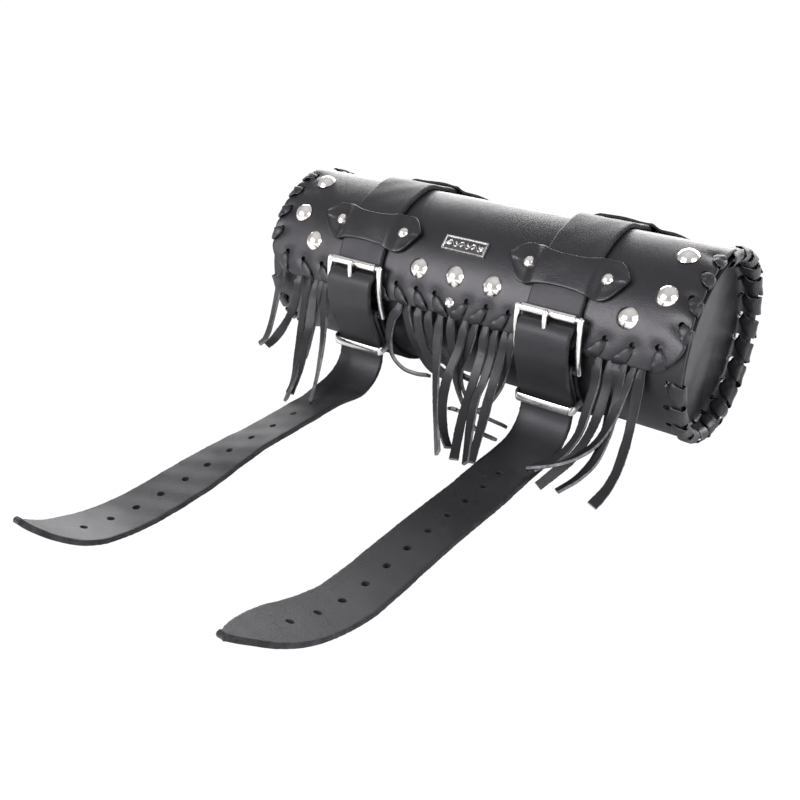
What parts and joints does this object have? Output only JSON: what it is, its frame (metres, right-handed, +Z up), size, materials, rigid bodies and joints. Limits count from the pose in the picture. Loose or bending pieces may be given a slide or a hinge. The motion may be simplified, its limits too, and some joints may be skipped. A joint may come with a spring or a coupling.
{
  "type": "saddlebag",
  "caption": "Cylindrical black leather roll bag with whip-laced edges, hinged front flap, fringes, dome studs and buckled straps with long punched tails.",
  "frame": {"origin": "on the ground plane under the middle of the barrel, level with the undersides of the two belts", "axes": "+X along the barrel to the right seen from the front, the flap and the buckles face -Y, +Z up"},
  "size_m": [0.3324, 0.4202, 0.135],
  "materials": {
    "body_leather": "satin pebbled black leather",
    "strap_leather": "matte black strap leather with pale cut edges",
    "keeper_leather": "satin black leather",
    "lace_leather": "thin black lace with grey cut edges",
    "plated_studs": "polished nickel plate",
    "plated_buckle": "polished nickel plate",
    "plated_plaque": "bright plate with a dark recessed field"
  },
  "bodies": {
    "bag": {"body_panel": "body_leather", "end_panel_left": "body_leather", "end_panel_right": "body_leather", "end_lacing_left": "lace_leather", "end_lacing_right": "lace_leather", "belt_left": "strap_leather", "belt_right": "strap_leather", "back_keeper_left": "keeper_leather", "back_keeper_right": "keeper_leather", "back_keeper_rivets": "plated_studs", "chape_rivets": "plated_studs"},
    "lid": {"lid_flap": "body_leather", "lid_lacing": "lace_leather", "dome_studs": "plated_studs", "stud_washers": "plated_studs", "centre_rivet": "plated_studs", "name_plate": "plated_plaque", "plate_pins": "plated_plaque", "front_keeper_left": "keeper_leather", "front_keeper_right": "keeper_leather", "front_keeper_rivets": "plated_studs", "strap_left_front": "strap_leather", "strap_right_front": "strap_leather"},
    "fringe_left": {"fringe_left": "lace_leather"},
    "fringe_centre": {"fringe_centre": "lace_leather"},
    "fringe_right": {"fringe_right": "lace_leather"},
    "tail_left": {"strap_left_tail": "strap_leather"},
    "frame_left": {"buckle_frame_left": "plated_buckle"},
    "roller_left": {"roller_left": "plated_buckle"},
    "tongue_left": {"tongue_left": "plated_buckle"},
    "keeper_left": {"metal_keeper_left": "plated_buckle"},
    "tail_right": {"strap_right_tail": "strap_leather"},
    "frame_right": {"buckle_frame_right": "plated_buckle"},
    "roller_right": {"roller_right": "plated_buckle"},
    "tongue_right": {"tongue_right": "plated_buckle"},
    "keeper_right": {"metal_keeper_right": "plated_buckle"}
  },
  "joints": [
    {"name": "lid_open", "type": "hinge", "parent": "bag", "child": "lid", "pos_m": [0, 0, 0.1312], "axis": [-1, 0, 0], "range_deg": [0, 95], "deforming": ["lid_flap", "lid_lacing", "strap_left_front", "strap_right_front"]},
    {"name": "fringe_left_hang", "type": "hinge", "parent": "lid", "child": "fringe_left", "pos_m": [0, -0.0695, 0.0664], "axis": [-1, 0, 0], "range_deg": [-95, 0]},
    {"name": "fringe_centre_hang", "type": "hinge", "parent": "lid", "child": "fringe_centre", "pos_m": [0, -0.0695, 0.0664], "axis": [-1, 0, 0], "range_deg": [-95, 0]},
    {"name": "fringe_right_hang", "type": "hinge", "parent": "lid", "child": "fringe_right", "pos_m": [0, -0.0695, 0.0664], "axis": [-1, 0, 0], "range_deg": [-95, 0]},
    {"name": "tail_left_bend", "type": "hinge", "parent": "lid", "child": "tail_left", "pos_m": [-0.078, -0.064, 0.017], "axis": [-1, 0, 0], "range_deg": [-133, 0]},
    {"name": "buckle_left_swing", "type": "hinge", "parent": "bag", "child": "frame_left", "pos_m": [-0.078, -0.06674, 0.05602], "axis": [1, 0, 0], "range_deg": [0, 71.25]},
    {"name": "tongue_left_swing", "type": "hinge", "parent": "frame_left", "child": "tongue_left", "pos_m": [-0.078, -0.06674, 0.05602], "axis": [1, 0, 0], "range_deg": [0, 14.25]},
    {"name": "roller_left_spin", "type": "hinge", "parent": "frame_left", "child": "roller_left", "pos_m": [-0.078, -0.06815, 0.09211], "axis": [1, 0, 0], "continuous": true},
    {"name": "keeper_left_slide", "type": "slide", "parent": "bag", "child": "keeper_left", "axis": [0, 0.5, -0.866], "range_m": [-0.003, 0.003]},
    {"name": "tail_right_bend", "type": "hinge", "parent": "lid", "child": "tail_right", "pos_m": [0.078, -0.064, 0.017], "axis": [-1, 0, 0], "range_deg": [-133, 0]},
    {"name": "buckle_right_swing", "type": "hinge", "parent": "bag", "child": "frame_right", "pos_m": [0.078, -0.06674, 0.05602], "axis": [1, 0, 0], "range_deg": [0, 71.25]},
    {"name": "tongue_right_swing", "type": "hinge", "parent": "frame_right", "child": "tongue_right", "pos_m": [0.078, -0.06674, 0.05602], "axis": [1, 0, 0], "range_deg": [0, 14.25]},
    {"name": "roller_right_spin", "type": "hinge", "parent": "frame_right", "child": "roller_right", "pos_m": [0.078, -0.06815, 0.09211], "axis": [1, 0, 0], "continuous": true},
    {"name": "keeper_right_slide", "type": "slide", "parent": "bag", "child": "keeper_right", "axis": [0, 0.5, -0.866], "range_m": [-0.003, 0.003]}
  ],
  "couplings": [
    {"joint": "fringe_left_hang", "follows": "lid_open", "ratio": -1},
    {"joint": "fringe_centre_hang", "follows": "lid_open", "ratio": -1},
    {"joint": "fringe_right_hang", "follows": "lid_open", "ratio": -1},
    {"joint": "tail_left_bend", "follows": "lid_open", "ratio": -1.4},
    {"joint": "buckle_left_swing", "follows": "lid_open", "ratio": 0.75},
    {"joint": "tongue_left_swing", "follows": "lid_open", "ratio": 0.15},
    {"joint": "tail_right_bend", "follows": "lid_open", "ratio": -1.4},
    {"joint": "buckle_right_swing", "follows": "lid_open", "ratio": 0.75},
    {"joint": "tongue_right_swing", "follows": "lid_open", "ratio": 0.15}
  ]
}
